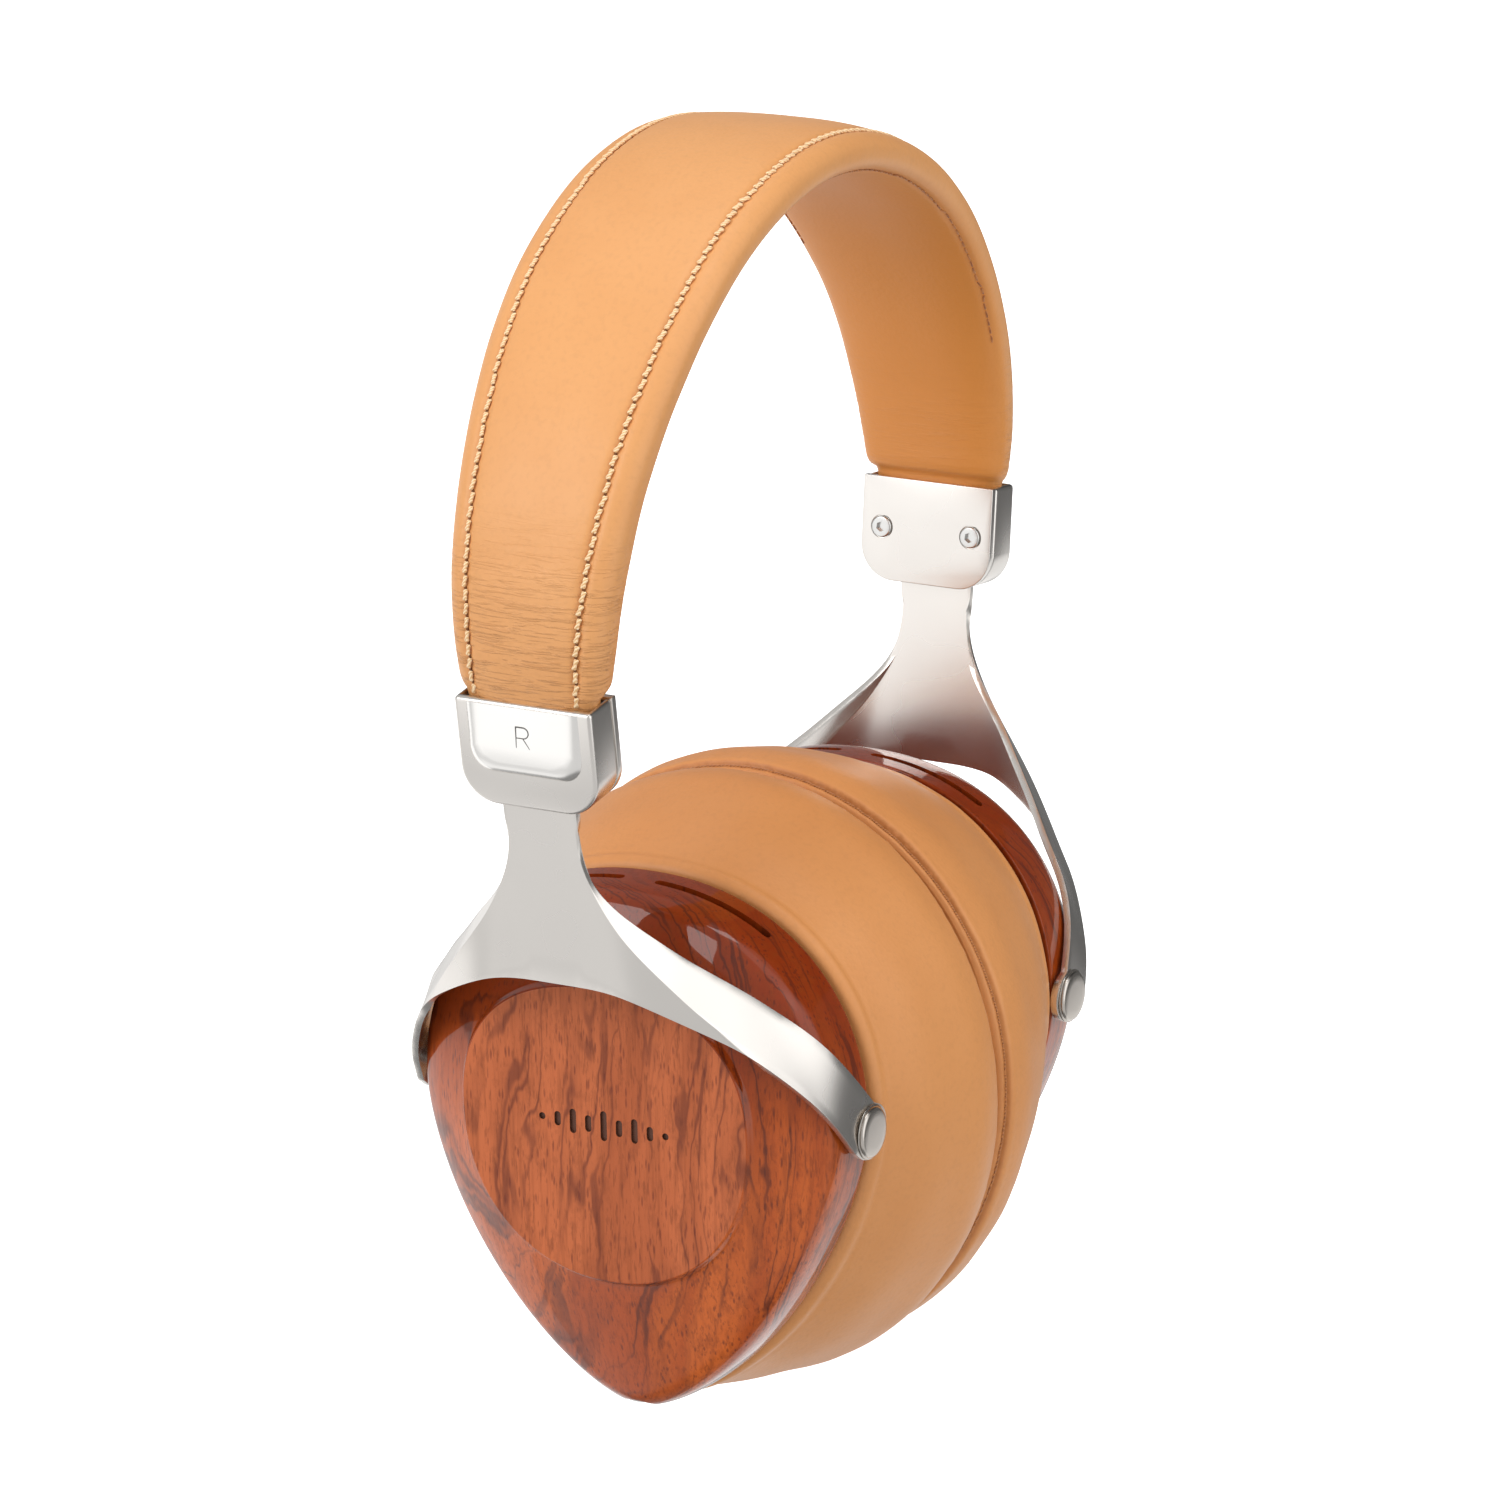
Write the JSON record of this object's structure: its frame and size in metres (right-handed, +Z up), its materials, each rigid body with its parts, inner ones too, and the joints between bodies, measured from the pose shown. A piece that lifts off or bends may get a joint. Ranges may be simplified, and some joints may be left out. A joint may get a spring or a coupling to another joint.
{
  "type": "over-ear headphones",
  "caption": "Over-ear headphones with a tan leather arch, satin metal clamps and sliding yokes, lacquered wooden cups and thick leather ear pads.",
  "frame": {"origin": "the crown of the arch's underside, where it rests on a head or a hook", "axes": "+Z up from the head through the arch's crown, -Y to the wearer's front, -X to the wearer's right ear; X = 0 is the symmetry plane"},
  "size_m": [0.1558, 0.1008, 0.2228],
  "materials": {
    "leather": "tan leather, semi-matt, fine grain",
    "satin_metal": "satin, bead blasted, light warm grey",
    "steel": "brushed",
    "wood": "reddish brown, clear gloss lacquer",
    "plastic": "fine matt texture",
    "foam": "open-cell foam",
    "felt": "pressed felt",
    "mesh": "fine black cloth",
    "film": "thin translucent film"
  },
  "bodies": {
    "headband": {"headband_cover_top": "leather", "headband_cover_under": "leather", "headband_foam_top": "foam", "headband_foam_under": "foam", "headband_spring": "steel", "clamp_shell_r": "satin_metal", "clamp_shell_l": "satin_metal", "clamp_plate_r": "satin_metal", "clamp_plate_l": "satin_metal", "clamp_screw_front_r": "steel", "clamp_screw_front_l": "steel", "clamp_screw_back_r": "steel", "clamp_screw_back_l": "steel", "slide_guide_r": "plastic", "slide_guide_l": "plastic", "detent_spring_r": "steel", "detent_spring_l": "steel"},
    "yoke_right": {"yoke_r": "satin_metal"},
    "yoke_left": {"yoke_l": "satin_metal"},
    "cup_right": {"cup_shell_r": "wood", "baffle_r": "plastic", "baffle_screw_front_r": "steel", "baffle_screw_back_r": "steel", "baffle_screw_low_r": "steel", "driver_frame_r": "plastic", "driver_magnet_r": "steel", "driver_diaphragm_r": "film", "driver_grille_r": "mesh", "damping_felt_r": "felt", "ear_pad_r": "leather", "ear_pad_face_r": "leather", "pad_ring_r": "plastic", "pivot_pin_front_r": "satin_metal", "pivot_pin_back_r": "satin_metal", "jack_socket_r": "plastic"},
    "cup_left": {"cup_shell_l": "wood", "baffle_l": "plastic", "baffle_screw_front_l": "steel", "baffle_screw_back_l": "steel", "baffle_screw_low_l": "steel", "driver_frame_l": "plastic", "driver_magnet_l": "steel", "driver_diaphragm_l": "film", "driver_grille_l": "mesh", "damping_felt_l": "felt", "ear_pad_l": "leather", "ear_pad_face_l": "leather", "pad_ring_l": "plastic", "pivot_pin_front_l": "satin_metal", "pivot_pin_back_l": "satin_metal", "jack_socket_l": "plastic"}
  },
  "joints": [
    {"name": "slide_right", "type": "slide", "parent": "headband", "child": "yoke_right", "axis": [0.1283, 0, -0.9917], "range_m": [-0.004, 0.016], "deforming": ["ear_pad_face_r"]},
    {"name": "slide_left", "type": "slide", "parent": "headband", "child": "yoke_left", "axis": [-0.1283, 0, -0.9917], "range_m": [-0.004, 0.016], "deforming": ["ear_pad_face_l"]},
    {"name": "tilt_right", "type": "hinge", "parent": "yoke_right", "child": "cup_right", "pos_m": [-0.0382, 0, -0.15258], "axis": [0, 1, 0], "range_deg": [-6, 6], "deforming": ["ear_pad_face_r"]},
    {"name": "tilt_left", "type": "hinge", "parent": "yoke_left", "child": "cup_left", "pos_m": [0.0382, 0, -0.15258], "axis": [0, 1, 0], "range_deg": [-6, 6], "deforming": ["ear_pad_face_l"]}
  ]
}
